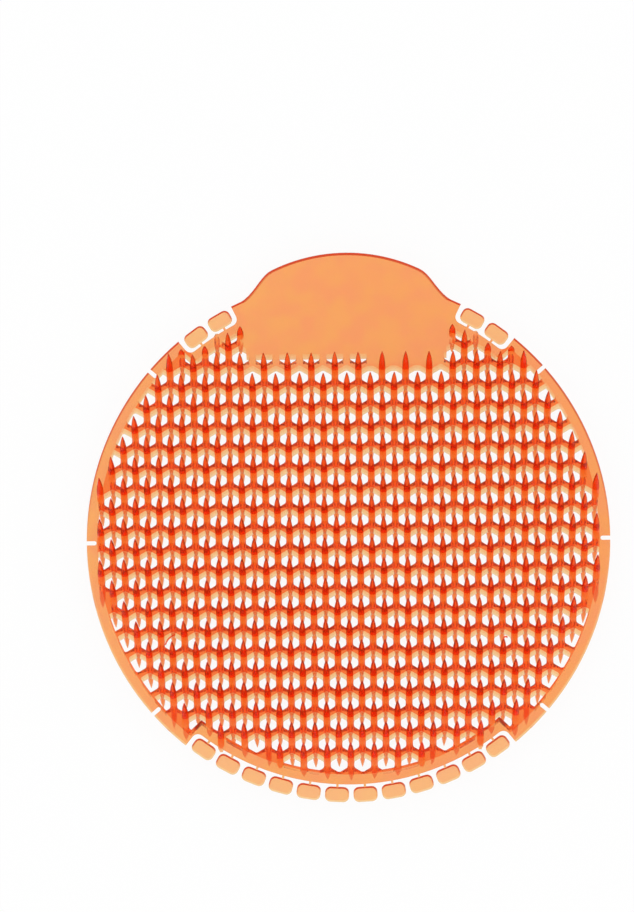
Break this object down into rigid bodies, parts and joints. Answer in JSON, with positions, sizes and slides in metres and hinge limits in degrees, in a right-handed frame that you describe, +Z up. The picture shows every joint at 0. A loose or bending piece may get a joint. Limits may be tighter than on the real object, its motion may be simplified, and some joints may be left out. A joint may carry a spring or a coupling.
{
  "type": "urinal screen mat",
  "caption": "Round soft plastic drain mat: a honeycomb web with slanted spikes on both faces, a slit rim, small edge pads and a pull tab.",
  "frame": {"origin": "on the surface it lies on, under the middle of its outline", "axes": "+Z up through the mat, +Y towards the tab, +X to the right of the tab"},
  "size_m": [0.178, 0.187, 0.0178],
  "materials": {
    "orange_eva": "clear soft orange plastic, glossy"
  },
  "bodies": {
    "root": {"screen": "orange_eva"}
  },
  "joints": []
}
